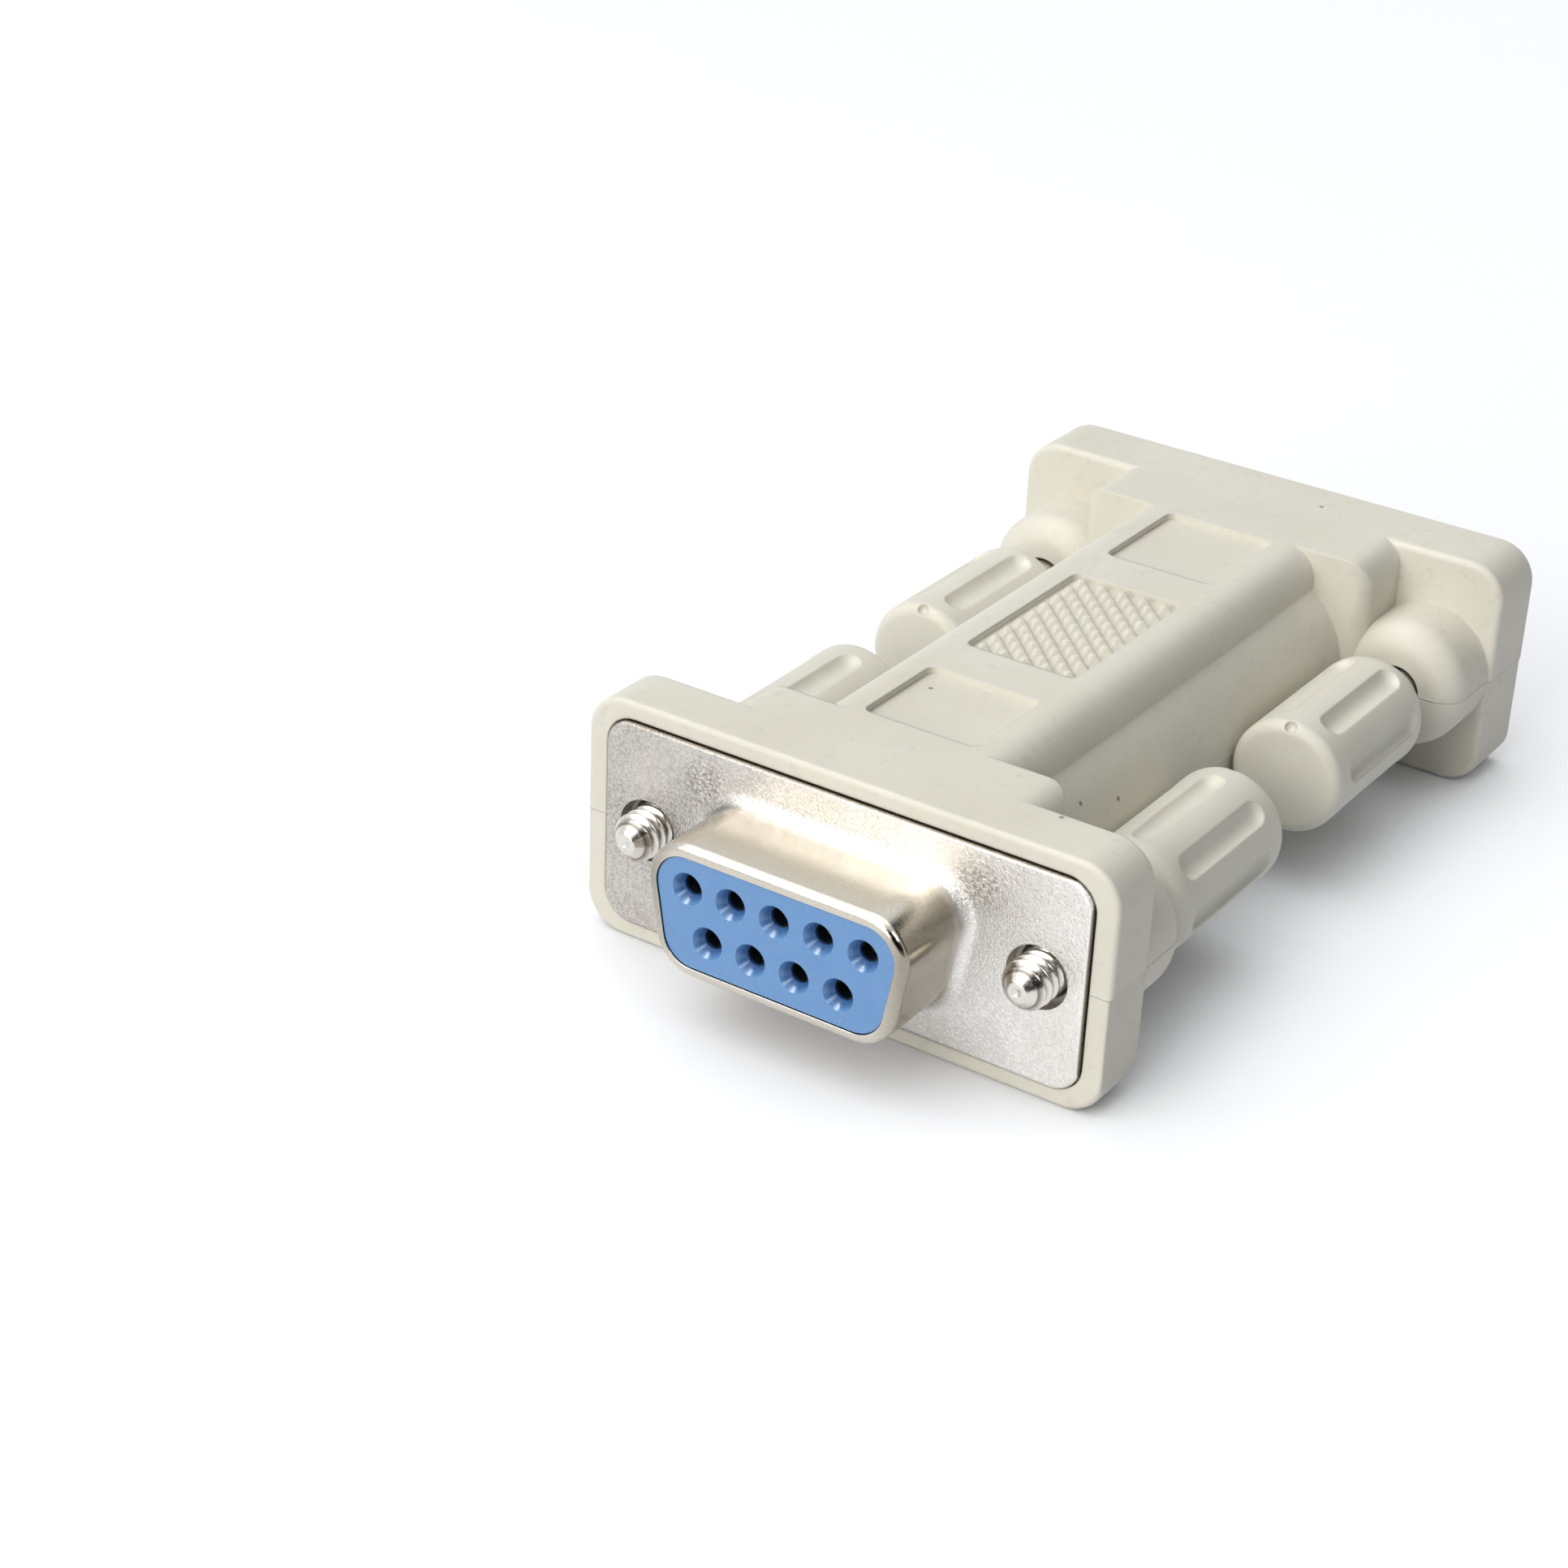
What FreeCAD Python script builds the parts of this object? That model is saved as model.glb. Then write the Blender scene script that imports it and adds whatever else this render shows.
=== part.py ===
import FreeCAD, Part
import math
import os

Vector = FreeCAD.Vector

# D-sub gender changer: two nine-way socket connectors back to back in one moulded body,
# with two captive thumbscrews at each end.
# Sizes are in millimetres. X is the width, Y runs from connector to connector, Z is up.
# The origin is at the middle of the base. The near connector faces -Y and the far one +Y.

# Moulded body
body_length = 52.5
flange_side_rim = 1.395
flange_height = 14.8
near_flange_depth = 4.2
far_flange_depth = 5.1
flange_setback = 0.25
flange_corner_radius = 2.4
flange_front_fillet = 0.3
flange_back_fillet = 0.4
parting_step = 0.12

# Bar between the flanges: a flat strap above and below a round-sided middle
strap_flat_width = 8.8
strap_edge_radius = 1.9
strap_side_depth = 2.5

# Shoulders that brace the bar against each flange
shoulder_width = 19.8
near_shoulder_depth = 2.9
far_shoulder_depth = 4.6
shoulder_top_radius = 1.5
shoulder_side_radius = 1.0

# Domed boss that guides each thumbscrew
boss_radius = 4.1
boss_length = 4.7
boss_end_fillet = 1.8
screw_bore_radius = 1.6

# Shallow panels in the top of the strap
panel_width = 7.2
panel_depth = 0.4
panel_corner_radius = 0.5
panel_margin = 0.4
near_panel_length = 7.0
middle_panel_length = 12.6
far_panel_length = 8.1

# Knurl of small blunt pyramids in the middle panel
knurl_columns = 5
knurl_rows = 9
knurl_pitch = 1.4
knurl_height = 0.4
knurl_valley = 0.1
knurl_tip = 0.3
knurl_root = 0.05

# Connector plates and drawn metal shells
plate_end_margin = 2.91
plate_height = 12.6
plate_corner_radius = 1.7
plate_thickness = 0.5
plate_edge_fillet = 0.2
plate_clearance = 0.1
plate_hole_radius = 1.85
screw_spacing = 24.99
shell_width = 16.33
shell_height = 7.9
shell_corner_radius = 2.5
shell_side_angle = 10.0
shell_depth = 5.95
shell_wall = 0.45
shell_base_radius = 0.7
shell_rim_radius = 0.5
shell_lip_inset = 0.65
shell_lip_depth = 0.45
cup_width = 19.2
cup_height = 10.6
cup_corner_radius = 2.4
cup_depth = 3.3
cup_wall = 0.45

# Insulators
insulator_clearance = 0.05
insulator_face_setback = 0.1
face_insulator_collar = 1.9
rear_block_width = 14.8
rear_block_height = 6.6
rear_block_radius = 1.4
rear_block_stand_out = 0.3

# Contacts
contact_pitch = 2.77
row_spacing = 2.84
wide_row_count = 5
narrow_row_count = 4
entry_radius = 0.58
entry_mouth_radius = 0.95
entry_mouth_depth = 0.6
entry_wall = 1.6
barrel_radius = 0.85
barrel_bore_radius = 0.52
barrel_bore_depth = 5.6
barrel_clearance = 0.05
ring_radius = 1.15
ring_length = 0.8
tail_radius = 0.9
tail_length = 4.2

# Circuit board that crosses the contacts over from one connector to the other
board_thickness = 1.2
board_width = 13.6
board_gap = 0.4

# Thumbscrews
thread_radius = 1.42
thread_length = 6.0
tip_radius = 0.75
tip_chamfer = 0.7
tip_reach = 2.0
shank_radius = 1.5
head_radius = 2.1
head_length = 8.0
head_cover = 1.6
turning_clearance = 0.05
grip_radius = 3.5
grip_length = 12.4
grip_boss_fillet = 1.5
grip_free_fillet = 0.7
grip_boss_gap = 0.1
grip_side_gap = 0.22
far_screw_retraction = 2.3
flute_count = 7
flute_cutter_radius = 1.0
flute_depth = 0.45
flute_end_margin = 1.5
gate_mark_radius = 0.35

# Angle of the first flute on each grip, from +X towards +Z
near_left_flute_angle = 80.0
near_right_flute_angle = 43.0
far_left_flute_angle = 73.0
far_right_flute_angle = 63.0

# Places worked out from the sizes above
face_y = -body_length / 2
axis_height = flange_height / 2
plate_width = screw_spacing + 2 * plate_end_margin
flange_width = plate_width + 2 * flange_side_rim
body_width = screw_spacing - 2 * (grip_radius + grip_side_gap)
plates_depth = 2 * plate_thickness
cup_end = plates_depth + cup_depth
face_insulator_end = plate_thickness + face_insulator_collar
cup_floor = cup_end - cup_wall
rear_block_end = cup_end + rear_block_stand_out
board_start = rear_block_end + board_gap
tail_end = rear_block_end + tail_length
near_boss_end = near_flange_depth + boss_length
far_boss_end = far_flange_depth + boss_length
near_grip_start = near_boss_end + grip_boss_gap
far_grip_start = far_boss_end + grip_boss_gap
near_panel_start = near_flange_depth + near_shoulder_depth + panel_margin
far_panel_end = body_length - far_flange_depth - far_shoulder_depth - panel_margin
middle_panel_centre = (near_panel_start + near_panel_length + far_panel_end - far_panel_length) / 2
screw_x = screw_spacing / 2


def rounded_outline(corners, y):
    """Closed wire in the plane at y, through corners given as (x, z, corner radius)."""
    arcs = []
    for index, (x, z, radius) in enumerate(corners):
        corner = Vector(x, y, z)
        before = corners[index - 1]
        after = corners[(index + 1) % len(corners)]
        back = (Vector(before[0], y, before[1]) - corner).normalize()
        ahead = (Vector(after[0], y, after[1]) - corner).normalize()
        half_angle = back.getAngle(ahead) / 2
        reach = radius / math.tan(half_angle)
        rise = radius / math.sin(half_angle) - radius
        middle = corner + (back + ahead).normalize() * rise
        arcs.append((corner + back * reach, middle, corner + ahead * reach))
    edges = []
    for index, (start, middle, end) in enumerate(arcs):
        edges.append(Part.Arc(start, middle, end).toShape())
        next_start = arcs[(index + 1) % len(arcs)][0]
        edges.append(Part.LineSegment(end, next_start).toShape())
    return Part.Wire(edges)


def prism(wire, length):
    """Solid from a wire, drawn out along +Y."""
    return Part.Face(wire).extrude(Vector(0, length, 0))


def rounded_bar(width, height, radius, start, length):
    """Bar along Y with a rounded rectangular section, from start behind the plate face."""
    x = width / 2
    z = height / 2
    corners = [(-x, -z, radius), (x, -z, radius), (x, z, radius), (-x, z, radius)]
    return prism(rounded_outline(corners, face_y + start), length)


def d_bar(width, height, radius, start, length):
    """Bar along Y with the D section of the connector, widest at its top."""
    angle = math.radians(shell_side_angle)
    corner_gain = radius * (math.tan(angle) + 1 / math.cos(angle) - 1)
    top = width / 2 + corner_gain
    bottom = top - height * math.tan(angle)
    z = height / 2
    corners = [(-bottom, -z, radius), (bottom, -z, radius), (top, z, radius), (-top, z, radius)]
    return prism(rounded_outline(corners, face_y + start), length)


def rod(radius, x, z, start, length):
    """Round rod along +Y, from start behind the plate face."""
    return Part.makeCylinder(radius, length, Vector(x, face_y + start, z), Vector(0, 1, 0))


def cone(start_radius, end_radius, x, z, start, length):
    """Round cone along +Y, from start behind the plate face."""
    base = Vector(x, face_y + start, z)
    return Part.makeCone(start_radius, end_radius, length, base, Vector(0, 1, 0))


def turned(profile):
    """Solid of revolution about the Y axis, from a profile of (radius, y) points."""
    points = [Vector(radius, y, 0) for radius, y in profile]
    face = Part.Face(Part.makePolygon(points + points[:1]))
    return face.revolve(Vector(0, 0, 0), Vector(0, 1, 0), 360)


def edges_on_plane(shape, y):
    """Edges that lie wholly in the plane at y."""
    found = []
    for edge in shape.Edges:
        box = edge.BoundBox
        if abs(box.YMin - y) < 1e-4 and abs(box.YMax - y) < 1e-4:
            found.append(edge)
    return found


def at_far_end(shape):
    """The same piece turned half round, for the connector that faces +Y."""
    turned_piece = shape.copy()
    turned_piece.rotate(Vector(0, 0, 0), Vector(0, 0, 1), 180)
    return turned_piece


def contact_places():
    """Contact places (x, z) in pin order, with the wide row on top."""
    places = []
    for index in range(wide_row_count):
        x = ((wide_row_count - 1) / 2 - index) * contact_pitch
        places.append((x, row_spacing / 2))
    for index in range(narrow_row_count):
        x = ((narrow_row_count - 1) / 2 - index) * contact_pitch
        places.append((x, -row_spacing / 2))
    return places


# Moulded body
def flange(back):
    """End block, whose lower half is a little narrower, because the mould halves don't quite meet."""
    depth = back - flange_setback
    block = rounded_bar(flange_width, flange_height, flange_corner_radius, flange_setback, depth)
    block = block.makeFillet(flange_front_fillet, edges_on_plane(block, face_y + flange_setback))
    block = block.makeFillet(flange_back_fillet, edges_on_plane(block, face_y + back))
    steps = []
    for x in (-flange_width / 2, flange_width / 2 - parting_step):
        base = Vector(x, face_y, -flange_height / 2)
        steps.append(Part.makeBox(parting_step, back, flange_height / 2, base))
    return block.cut(steps)


def body_bar():
    """Bar from flange to flange: strap corners on arcs, with a crease above bulging sides."""
    top = flange_height / 2
    flat = strap_flat_width / 2
    strap_side = flat + strap_edge_radius
    crease = top - strap_side_depth
    corner_end = top - strap_edge_radius
    diagonal = strap_edge_radius * math.sqrt(0.5)
    start = near_flange_depth / 2
    y = face_y + start

    def point(x, z):
        return Vector(x, y, z)

    def strap_corner(side, face):
        outer = point(side * strap_side, face * corner_end)
        middle = point(side * (flat + diagonal), face * (corner_end + diagonal))
        return Part.Arc(outer, middle, point(side * flat, face * top)).toShape()

    def strap_edge(side, face):
        outer = point(side * strap_side, face * corner_end)
        return Part.LineSegment(point(side * strap_side, face * crease), outer).toShape()

    def bulging_side(side):
        low = point(side * strap_side, -crease)
        high = point(side * strap_side, crease)
        return Part.Arc(low, point(side * body_width / 2, 0), high).toShape()

    def strap_face(face):
        return Part.LineSegment(point(-flat, face * top), point(flat, face * top)).toShape()

    edges = [strap_face(1), strap_face(-1)]
    for side in (-1, 1):
        edges.append(bulging_side(side))
        for face in (-1, 1):
            edges.append(strap_corner(side, face))
            edges.append(strap_edge(side, face))
    outline = Part.Wire(Part.__sortEdges__(edges))
    return prism(outline, body_length - 2 * start)


def shoulder(flange_depth, shoulder_depth):
    """Block behind the flange, round along its top corners and round down its outer sides."""
    start = flange_depth / 2
    depth = flange_depth + shoulder_depth - start
    section = rounded_bar(shoulder_width, flange_height, shoulder_top_radius, start, depth)
    x = shoulder_width / 2
    back = face_y + start + depth
    front = face_y + start
    inner = x - shoulder_side_radius
    diagonal = shoulder_side_radius * math.sqrt(0.5)
    z = -flange_height / 2

    def side_arc(side):
        centre = Vector(side * inner, back - shoulder_side_radius, z)
        outer = centre + Vector(side * shoulder_side_radius, 0, 0)
        middle = centre + Vector(side * diagonal, diagonal, 0)
        return Part.Arc(outer, middle, centre + Vector(0, shoulder_side_radius, 0)).toShape()

    edges = [side_arc(1), side_arc(-1)]
    edges.append(Part.LineSegment(Vector(-inner, back, z), Vector(inner, back, z)).toShape())
    for side in (-1, 1):
        corner = Vector(side * x, back - shoulder_side_radius, z)
        edges.append(Part.LineSegment(Vector(side * x, front, z), corner).toShape())
    edges.append(Part.LineSegment(Vector(-x, front, z), Vector(x, front, z)).toShape())
    plan = Part.Face(Part.Wire(Part.__sortEdges__(edges)))
    return section.common(plan.extrude(Vector(0, 0, flange_height)))


def boss(x, end):
    start = near_flange_depth / 2
    dome = rod(boss_radius, x, 0, start, end - start)
    return dome.makeFillet(boss_end_fillet, edges_on_plane(dome, face_y + end))


def end_of_body(flange_depth, shoulder_depth, boss_end):
    """Flange, shoulder and bosses of one end, as they lie at the near end."""
    bosses = [boss(x, boss_end) for x in (-screw_x, screw_x)]
    return [flange(flange_depth), shoulder(flange_depth, shoulder_depth)] + bosses


def end_cutters(boss_end):
    """Room in one end of the moulding for the connector, its contacts and its two screws."""
    cutters = [plate_pocket(), cup_block(), rear_block()]
    for x in (-screw_x, screw_x):
        cutters.append(rod(screw_bore_radius, x, 0, 0, boss_end + grip_boss_gap))
    for x, z in contact_places():
        cutters.append(rod(tail_radius, x, z, cup_end, tail_end - cup_end))
    return cutters


def panel(start, length):
    """Cutter for a shallow panel with rounded corners in the top of the strap."""
    y = face_y + start
    base = Vector(-panel_width / 2, y, flange_height / 2 - panel_depth)
    block = Part.makeBox(panel_width, length, 2 * panel_depth, base)
    upright = [edge for edge in block.Edges if edge.BoundBox.ZLength > panel_depth]
    return block.makeFillet(panel_corner_radius, upright)


def panels():
    far_start = far_panel_end - far_panel_length
    near_panel = panel(near_panel_start, near_panel_length)
    middle_panel = panel(middle_panel_centre - middle_panel_length / 2, middle_panel_length)
    return [near_panel, middle_panel, panel(far_start, far_panel_length)]


def plate_pocket():
    gap = 2 * plate_clearance
    radius = plate_corner_radius + plate_clearance
    return rounded_bar(plate_width + gap, plate_height + gap, radius, 0, plates_depth)


def knurl_pyramid(x, y):
    """Blunt four-sided pyramid on the floor of the middle panel, with its corners along X and Y."""
    base = (knurl_pitch - knurl_valley) / math.sqrt(2) / 2
    tip = knurl_tip / 2
    height = knurl_root + knurl_height
    pyramid = Part.makeWedge(-base, 0, -base, -tip, -tip, base, height, base, tip, tip)
    pyramid.rotate(Vector(0, 0, 0), Vector(1, 0, 0), 90)
    pyramid.rotate(Vector(0, 0, 0), Vector(0, 0, 1), 45)
    pyramid.translate(Vector(x, y, flange_height / 2 - panel_depth - knurl_root))
    return pyramid


def knurl():
    """Staggered pyramids: a full grid, and a smaller grid in the gaps between its members."""
    pyramids = []
    for columns, rows in ((knurl_columns, knurl_rows), (knurl_columns - 1, knurl_rows - 1)):
        for column in range(columns):
            for row in range(rows):
                x = (column - (columns - 1) / 2) * knurl_pitch
                y = face_y + middle_panel_centre + (row - (rows - 1) / 2) * knurl_pitch
                pyramids.append(knurl_pyramid(x, y))
    return pyramids


def overmould():
    """One moulding round the board and the backs of both connectors."""
    near_lumps = end_of_body(near_flange_depth, near_shoulder_depth, near_boss_end)
    far_lumps = end_of_body(far_flange_depth, far_shoulder_depth, far_boss_end)
    lumps = near_lumps + [at_far_end(lump) for lump in far_lumps]
    body = body_bar().fuse(lumps).removeSplitter()
    far_cutters = [at_far_end(cutter) for cutter in end_cutters(far_boss_end)]
    body = body.cut(end_cutters(near_boss_end) + far_cutters)
    return body.cut(panels() + [circuit_board()]).fuse(knurl())


# Connector shells
def plate_blank(start):
    return rounded_bar(plate_width, plate_height, plate_corner_radius, start, plate_thickness)


def plate_holes(start):
    return [rod(plate_hole_radius, x, 0, start, plate_thickness) for x in (-screw_x, screw_x)]


def face_shell():
    """Face plate with the D-shaped shell drawn out of it, and the shell's mouth turned in to a lip."""
    plate = plate_blank(0)
    plate = plate.makeFillet(plate_edge_fillet, edges_on_plane(plate, face_y))
    tube = d_bar(shell_width, shell_height, shell_corner_radius, -shell_depth, shell_depth)
    tube = tube.makeFillet(shell_rim_radius, edges_on_plane(tube, face_y - shell_depth))
    body = plate.fuse(tube).removeSplitter()
    reach = shell_width / 2 + shell_base_radius
    base_edges = []
    for edge in edges_on_plane(body, face_y):
        if max(-edge.BoundBox.XMin, edge.BoundBox.XMax) < reach:
            base_edges.append(edge)
    body = body.makeFillet(shell_base_radius, base_edges)
    inner_width = shell_width - 2 * shell_wall
    inner_height = shell_height - 2 * shell_wall
    inner_radius = shell_corner_radius - shell_wall
    lip_back = shell_lip_depth - shell_depth
    bore = d_bar(inner_width, inner_height, inner_radius, lip_back, plate_thickness - lip_back)
    mouth_width = shell_width - 2 * shell_lip_inset
    mouth_height = shell_height - 2 * shell_lip_inset
    mouth_radius = shell_corner_radius - shell_lip_inset
    mouth = d_bar(mouth_width, mouth_height, mouth_radius, -shell_depth, shell_lip_depth)
    return body.cut([bore, mouth] + plate_holes(0))


def cup_block():
    """Outside of the rear shell's cup, with nothing taken out."""
    return d_bar(cup_width, cup_height, cup_corner_radius, plates_depth, cup_depth)


def rear_shell():
    """Second plate, seated on the face plate, with the cup that holds both insulators."""
    body = plate_blank(plate_thickness).fuse(cup_block()).removeSplitter()
    inner_width = cup_width - 2 * cup_wall
    inner_height = cup_height - 2 * cup_wall
    inner_radius = cup_corner_radius - cup_wall
    depth = cup_floor - plate_thickness
    hollow = d_bar(inner_width, inner_height, inner_radius, plate_thickness, depth)
    return body.cut([hollow, rear_block()] + plate_holes(plate_thickness))


# Insulators
def collar(start, length):
    width = cup_width - 2 * cup_wall - 2 * insulator_clearance
    height = cup_height - 2 * cup_wall - 2 * insulator_clearance
    radius = cup_corner_radius - cup_wall - insulator_clearance
    return d_bar(width, height, radius, start, length)


def nose(wall, start, length):
    """Bar that fits inside the shell where the shell's wall has this thickness."""
    inset = wall + insulator_clearance
    width = shell_width - 2 * inset
    height = shell_height - 2 * inset
    return d_bar(width, height, shell_corner_radius - inset, start, length)


def face_insulator():
    """Moulded nose that fills the shell and its lip, with a countersunk entry over each contact."""
    face = insulator_face_setback - shell_depth
    step = shell_lip_depth + insulator_clearance - shell_depth
    tip = nose(shell_lip_inset, face, step - face)
    trunk = nose(shell_wall, step, plate_thickness - step)
    body = trunk.fuse([tip, collar(plate_thickness, face_insulator_collar)]).removeSplitter()
    cavity_start = face + entry_wall
    cavity_radius = barrel_radius + barrel_clearance
    ring_start = face_insulator_end - ring_length / 2
    cutters = []
    for x, z in contact_places():
        cutters.append(cone(entry_mouth_radius, entry_radius, x, z, face, entry_mouth_depth))
        cutters.append(rod(entry_radius, x, z, face, entry_wall))
        cutters.append(rod(cavity_radius, x, z, cavity_start, face_insulator_end - cavity_start))
        cutters.append(rod(ring_radius, x, z, ring_start, ring_length / 2))
    return body.cut(cutters)


def rear_block():
    """Back of the rear insulator, which stands out through the floor of the cup."""
    length = rear_block_end - cup_floor
    return d_bar(rear_block_width, rear_block_height, rear_block_radius, cup_floor, length)


def rear_insulator():
    collar_length = cup_floor - face_insulator_end
    body = collar(face_insulator_end, collar_length).fuse(rear_block()).removeSplitter()
    cutters = []
    for x, z in contact_places():
        cutters.append(rod(ring_radius, x, z, face_insulator_end, ring_length / 2))
        cutters.append(rod(tail_radius, x, z, face_insulator_end, rear_block_end - face_insulator_end))
    return body.cut(cutters)


# Contacts and board
def contact(x, z):
    """Turned socket contact: barrel, locating ring, and a tail soldered flat to the board."""
    front = insulator_face_setback - shell_depth + entry_wall
    ring_start = face_insulator_end - ring_length / 2
    ring_end = ring_start + ring_length
    bore_end = front + barrel_bore_depth
    profile = [(barrel_bore_radius, front), (barrel_radius, front), (barrel_radius, ring_start)]
    profile += [(ring_radius, ring_start), (ring_radius, ring_end), (tail_radius, ring_end)]
    profile += [(tail_radius, tail_end), (0, tail_end), (0, bore_end)]
    profile.append((barrel_bore_radius, bore_end))
    piece = turned(profile)
    piece.translate(Vector(x, face_y, z))
    return piece.cut(circuit_board())


def circuit_board():
    length = body_length - 2 * board_start
    base = Vector(-board_width / 2, face_y + board_start, -board_thickness / 2)
    return Part.makeBox(board_width, length, board_thickness, base)


# Thumbscrews
def screw_steel():
    """Turned steel screw along Y, with the place where its grip starts at y = 0."""
    tip = -(near_grip_start + tip_reach)
    thread_end = tip + thread_length
    head_end = head_cover + head_length
    profile = [(0, tip), (tip_radius, tip), (thread_radius, tip + tip_chamfer)]
    profile += [(thread_radius, thread_end), (shank_radius, thread_end)]
    profile += [(shank_radius, head_cover), (head_radius, head_cover)]
    profile += [(head_radius, head_end), (0, head_end)]
    return turned(profile)


def grip_hollow():
    """Room inside the grip for the shank and the head, with the turning clearance."""
    head_start = head_cover - turning_clearance
    head_end = head_cover + head_length + turning_clearance
    shank_room = shank_radius + turning_clearance
    head_room = head_radius + turning_clearance
    profile = [(0, -turning_clearance), (shank_room, -turning_clearance)]
    profile += [(shank_room, head_start), (head_room, head_start), (head_room, head_end), (0, head_end)]
    return turned(profile)


def flute_cutter():
    """Round-ended rod that cuts one flute, lying over the grip on its +X side."""
    x = grip_radius + flute_cutter_radius - flute_depth
    start = flute_end_margin + flute_cutter_radius
    end = grip_length - flute_end_margin - flute_cutter_radius
    rod_part = Part.makeCylinder(flute_cutter_radius, end - start, Vector(x, start, 0), Vector(0, 1, 0))
    ends = [Part.makeSphere(flute_cutter_radius, Vector(x, y, 0)) for y in (start, end)]
    return rod_part.fuse(ends)


def screw_grip(flute_angle):
    """Plastic grip along Y from y = 0, fluted, round at the boss end and flat at the free end."""
    body = Part.makeCylinder(grip_radius, grip_length, Vector(0, 0, 0), Vector(0, 1, 0))
    body = body.makeFillet(grip_boss_fillet, edges_on_plane(body, 0))
    body = body.makeFillet(grip_free_fillet, edges_on_plane(body, grip_length))
    cutters = [grip_hollow()]
    for index in range(flute_count):
        cutter = flute_cutter()
        angle = flute_angle + index * 360 / flute_count
        cutter.rotate(Vector(0, 0, 0), Vector(0, -1, 0), angle)
        cutters.append(cutter)
    gate_place = Vector(0, grip_length - grip_free_fillet / 3, grip_radius - grip_free_fillet / 3)
    cutters.append(Part.makeSphere(gate_mark_radius, gate_place))
    return body.cut(cutters)


def placed_near(piece, x):
    placed = piece.copy()
    placed.translate(Vector(x, face_y + near_grip_start, 0))
    return placed


def placed_far(piece, x):
    """The far screws point towards +Y and stand a little way back out of their bosses."""
    placed = at_far_end(piece)
    placed.translate(Vector(x, -face_y - far_grip_start - far_screw_retraction, 0))
    return placed


def thumbscrews():
    nodes = {}
    near_angles = {"left": near_left_flute_angle, "right": near_right_flute_angle}
    far_angles = {"left": far_left_flute_angle, "right": far_right_flute_angle}
    for side, x in (("left", -screw_x), ("right", screw_x)):
        nodes["near_" + side + "_screw"] = placed_near(screw_steel(), x)
        nodes["near_" + side + "_grip"] = placed_near(screw_grip(near_angles[side]), x)
        nodes["far_" + side + "_screw"] = placed_far(screw_steel(), x)
        nodes["far_" + side + "_grip"] = placed_far(screw_grip(180 - far_angles[side]), x)
    return nodes


def connector_pieces():
    """Pieces of the near connector by name, without their end."""
    pieces = {"face_shell": face_shell(), "rear_shell": rear_shell()}
    pieces["face_insulator"] = face_insulator()
    pieces["rear_insulator"] = rear_insulator()
    for number, (x, z) in enumerate(contact_places(), start=1):
        pieces["contact_" + str(number)] = contact(x, z)
    return pieces


def all_nodes():
    nodes = {"overmould": overmould(), "circuit_board": circuit_board()}
    for name, piece in connector_pieces().items():
        nodes["near_" + name] = piece
        nodes["far_" + name] = at_far_end(piece)
    nodes.update(thumbscrews())
    return nodes


os.makedirs("parts", exist_ok=True)
for node_name, node_shape in all_nodes().items():
    node_shape.translate(Vector(0, 0, axis_height))
    node_shape.exportStep("parts/" + node_name + ".step")
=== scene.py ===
import math
import bpy
from mathutils import Matrix, Vector


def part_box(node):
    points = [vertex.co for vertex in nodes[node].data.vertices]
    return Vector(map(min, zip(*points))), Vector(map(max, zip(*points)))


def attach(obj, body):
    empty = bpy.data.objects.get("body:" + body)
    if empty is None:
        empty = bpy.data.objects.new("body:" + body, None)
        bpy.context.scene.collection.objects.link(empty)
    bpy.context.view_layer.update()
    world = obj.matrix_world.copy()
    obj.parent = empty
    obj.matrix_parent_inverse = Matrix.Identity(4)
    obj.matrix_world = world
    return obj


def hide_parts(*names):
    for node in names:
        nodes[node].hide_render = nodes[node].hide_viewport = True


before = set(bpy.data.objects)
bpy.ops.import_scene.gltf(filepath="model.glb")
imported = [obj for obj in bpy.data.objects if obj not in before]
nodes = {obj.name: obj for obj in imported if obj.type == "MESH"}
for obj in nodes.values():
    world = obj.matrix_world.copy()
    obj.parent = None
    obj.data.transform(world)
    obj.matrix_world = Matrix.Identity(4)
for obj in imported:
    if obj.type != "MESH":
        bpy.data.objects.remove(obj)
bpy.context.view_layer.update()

mm = 0.001


# Socket contacts: nine turned copper-alloy tubes at each end, flashed with gold.
# They sit deep in the insulator, so only their mouths catch a little light.
def linear(red, green, blue):
    """Colour as a photograph shows it, 0 to 255, in the units that a shader wants."""
    values = []
    for value in (red, green, blue):
        share = value / 255
        values.append(share / 12.92 if share <= 0.04045 else ((share + 0.055) / 1.055) ** 2.4)
    return (*values, 1)


class Tree:
    """A node tree under construction."""

    def node(self, kind, inputs=(), **settings):
        """Adds a node whose inputs are given as values or as the outputs of other nodes."""
        made = self.tree.nodes.new(kind)
        for name, value in settings.items():
            setattr(made, name, value)
        for key, value in dict(inputs).items():
            if isinstance(value, bpy.types.NodeSocket):
                self.tree.links.new(value, made.inputs[key])
            else:
                made.inputs[key].default_value = value
        return made

    def math(self, operation, *values):
        return self.node("ShaderNodeMath", enumerate(values), operation=operation).outputs[0]

    def plus(self, first, second):
        return self.math("ADD", first, second)

    def minus(self, first, second):
        return self.math("SUBTRACT", first, second)

    def times(self, first, second):
        return self.math("MULTIPLY", first, second)

    def magnitude(self, value):
        return self.math("ABSOLUTE", value)

    def spread(self, value, low, high, start=0.3, end=0.7, ease="LINEAR"):
        """A number that goes from low to high as the value goes from start to end."""
        inputs = {"Value": value, "From Min": start, "From Max": end, "To Min": low, "To Max": high}
        return self.node("ShaderNodeMapRange", inputs, interpolation_type=ease).outputs[0]


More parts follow.
